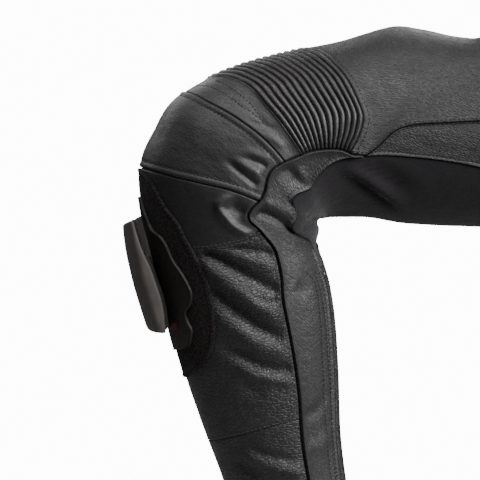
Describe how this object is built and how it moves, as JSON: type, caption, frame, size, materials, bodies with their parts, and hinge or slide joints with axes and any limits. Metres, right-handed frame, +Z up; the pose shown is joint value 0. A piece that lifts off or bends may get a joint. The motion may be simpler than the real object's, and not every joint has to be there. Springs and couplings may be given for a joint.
{
  "type": "leather motorcycle trousers",
  "caption": "Black leather motorcycle trousers shaped for a riding crouch, with ribbed stretch panels over the knees and hard knee sliders on the shins.",
  "frame": {"origin": "centre of the waist opening", "axes": "+Z up along the wearer's back, the wearer faces -Y, the wearer's left is +X"},
  "size_m": [0.488, 0.6394, 0.6955],
  "materials": {
    "leather": "black cowhide with a fine grain, satin",
    "ribbed_leather": "black leather stitched into narrow ribs over elastic, satin",
    "stretch_cloth": "black heavy stretch weave, matt",
    "zip_tape": "black zip tape with closed plastic teeth",
    "loop_cloth": "black loop pile, fuzzy",
    "plate_rubber": "dark bendy moulded plate, dull",
    "slider_plastic": "charcoal moulded plastic, satin",
    "red_plastic": "dark red moulded plastic",
    "metal": "dark brushed metal"
  },
  "bodies": {
    "trousers": {"calf_zip_left": "zip_tape", "calf_zip_right": "zip_tape", "fly_zip": "zip_tape", "knee_cap_left": "leather", "knee_cap_right": "leather", "knee_strip_left": "leather", "knee_strip_right": "leather", "loop_patch_left": "loop_cloth", "loop_patch_right": "loop_cloth", "rib_panel_left": "ribbed_leather", "rib_panel_right": "ribbed_leather", "seat_left": "leather", "seat_right": "leather", "shin_left": "leather", "shin_lower_left": "leather", "shin_lower_right": "leather", "shin_right": "leather", "side_inner_left": "leather", "side_inner_right": "leather", "side_outer_left": "leather", "side_outer_right": "leather", "slider_insert_left": "red_plastic", "slider_insert_right": "red_plastic", "slider_left": "slider_plastic", "slider_plate_left": "plate_rubber", "slider_plate_right": "plate_rubber", "slider_right": "slider_plastic", "stretch_back_left": "stretch_cloth", "stretch_back_right": "stretch_cloth", "thigh_front_left": "leather", "thigh_front_right": "leather", "under_knee_left": "leather", "under_knee_right": "leather", "waist_snap": "metal", "waist_tab": "leather", "waistband_left": "leather", "waistband_right": "leather", "calf_pull_left_slider": "metal", "calf_pull_right_slider": "metal", "fly_pull_slider": "metal"},
    "calf_pull_left_tab": {"calf_pull_left_tab": "metal"},
    "calf_pull_right_tab": {"calf_pull_right_tab": "metal"},
    "fly_pull_tab": {"fly_pull_tab": "metal"}
  },
  "joints": [
    {"name": "calf_pull_left_turn", "type": "hinge", "parent": "trousers", "child": "calf_pull_left_tab", "pos_m": [0.18303, -0.25945, -0.61371], "axis": [0.8808, -0.4433, -0.1663], "range_deg": [0, 160]},
    {"name": "calf_pull_right_turn", "type": "hinge", "parent": "trousers", "child": "calf_pull_right_tab", "pos_m": [-0.18303, -0.25945, -0.61371], "axis": [0.8808, 0.4433, 0.1663], "range_deg": [0, 160]},
    {"name": "fly_pull_turn", "type": "hinge", "parent": "trousers", "child": "fly_pull_tab", "pos_m": [0, -0.10389, -0.08054], "axis": [-1, 0, 0], "range_deg": [-34, 126]}
  ]
}
